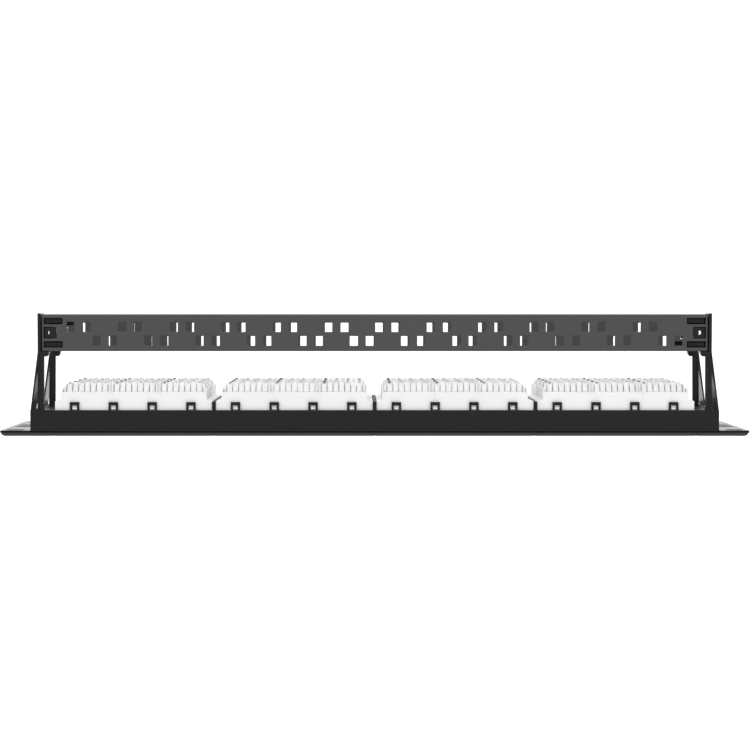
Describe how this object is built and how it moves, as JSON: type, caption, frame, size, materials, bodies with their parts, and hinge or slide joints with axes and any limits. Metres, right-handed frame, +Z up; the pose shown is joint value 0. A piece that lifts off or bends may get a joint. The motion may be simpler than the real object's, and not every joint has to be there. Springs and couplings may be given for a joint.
{
  "type": "rack patch panel",
  "caption": "Two-unit rack patch panel with modular front jacks, white rear punch-down towers and two slotted rear cable bars on arms.",
  "frame": {"origin": "centre of the rack mounting plane: the rear face of the ears, midway between the four outer slots", "axes": "+Z up, +Y towards the rear (towers and cable bars), -Y towards the front (jacks), +X to the right as seen from the front"},
  "size_m": [0.4826, 0.079, 0.0882],
  "materials": {
    "plate_black": "black powder-coated steel, satin",
    "frame_black": "black moulded plastic, fine texture",
    "trim_black": "black moulded plastic, smooth satin",
    "jack_black": "black moulded plastic, satin",
    "bar_black": "dark grey-black moulded plastic, fine spark-eroded texture",
    "arm_black": "black moulded plastic, semi-gloss",
    "board_green": "green solder mask on glass-epoxy board",
    "housing_white": "white moulded plastic, satin",
    "tower_white": "white moulded plastic, satin",
    "clip_metal": "tin-plated phosphor bronze",
    "contact_gold": "gold-plated contact wire",
    "label_white": "blank white writing strip",
    "screw_steel": "zinc-plated steel"
  },
  "bodies": {
    "panel": {"mounting_plate": "plate_black", "support_frame": "frame_black", "frame_screws": "screw_steel", "label_strips": "label_white", "left_ear_trim": "trim_black", "right_ear_trim": "trim_black", "bezel_upper_1": "trim_black", "jack_block_upper_1": "jack_black", "circuit_board_upper_1": "board_green", "housing_upper_1": "housing_white", "idc_towers_upper_1": "tower_white", "bezel_upper_2": "trim_black", "jack_block_upper_2": "jack_black", "circuit_board_upper_2": "board_green", "housing_upper_2": "housing_white", "idc_towers_upper_2": "tower_white", "bezel_upper_3": "trim_black", "jack_block_upper_3": "jack_black", "circuit_board_upper_3": "board_green", "housing_upper_3": "housing_white", "idc_towers_upper_3": "tower_white", "bezel_upper_4": "trim_black", "jack_block_upper_4": "jack_black", "circuit_board_upper_4": "board_green", "housing_upper_4": "housing_white", "idc_towers_upper_4": "tower_white", "jack_contacts_upper": "contact_gold", "idc_clips_upper": "clip_metal", "bar_arm_upper_left": "arm_black", "bar_arm_upper_right": "arm_black", "bezel_lower_1": "trim_black", "jack_block_lower_1": "jack_black", "circuit_board_lower_1": "board_green", "housing_lower_1": "housing_white", "idc_towers_lower_1": "tower_white", "bezel_lower_2": "trim_black", "jack_block_lower_2": "jack_black", "circuit_board_lower_2": "board_green", "housing_lower_2": "housing_white", "idc_towers_lower_2": "tower_white", "bezel_lower_3": "trim_black", "jack_block_lower_3": "jack_black", "circuit_board_lower_3": "board_green", "housing_lower_3": "housing_white", "idc_towers_lower_3": "tower_white", "bezel_lower_4": "trim_black", "jack_block_lower_4": "jack_black", "circuit_board_lower_4": "board_green", "housing_lower_4": "housing_white", "idc_towers_lower_4": "tower_white", "jack_contacts_lower": "contact_gold", "idc_clips_lower": "clip_metal", "bar_arm_lower_left": "arm_black", "bar_arm_lower_right": "arm_black"},
    "upper_bar": {"cable_bar_upper": "bar_black"},
    "lower_bar": {"cable_bar_lower": "bar_black"},
    "upper_left_latch": {"bar_latch_upper_left": "arm_black"},
    "upper_right_latch": {"bar_latch_upper_right": "arm_black"},
    "lower_left_latch": {"bar_latch_lower_left": "arm_black"},
    "lower_right_latch": {"bar_latch_lower_right": "arm_black"}
  },
  "joints": [
    {"name": "upper_bar_lift", "type": "slide", "parent": "panel", "child": "upper_bar", "axis": [0, 0, 1], "range_m": [0, 0.02]},
    {"name": "upper_left_latch_press", "type": "hinge", "parent": "upper_bar", "child": "upper_left_latch", "pos_m": [-0.212, 0.06295, 0.0405], "axis": [0, 1, 0], "range_deg": [0, 8], "stiffness_Nm_per_rad": 0.4},
    {"name": "upper_right_latch_press", "type": "hinge", "parent": "upper_bar", "child": "upper_right_latch", "pos_m": [0.212, 0.06295, 0.0405], "axis": [0, -1, 0], "range_deg": [0, 8], "stiffness_Nm_per_rad": 0.4},
    {"name": "lower_bar_lift", "type": "slide", "parent": "panel", "child": "lower_bar", "axis": [0, 0, 1], "range_m": [0, 0.02]},
    {"name": "lower_left_latch_press", "type": "hinge", "parent": "lower_bar", "child": "lower_left_latch", "pos_m": [-0.212, 0.06175, -0.00395], "axis": [0, 1, 0], "range_deg": [0, 8], "stiffness_Nm_per_rad": 0.4},
    {"name": "lower_right_latch_press", "type": "hinge", "parent": "lower_bar", "child": "lower_right_latch", "pos_m": [0.212, 0.06175, -0.00395], "axis": [0, -1, 0], "range_deg": [0, 8], "stiffness_Nm_per_rad": 0.4}
  ]
}
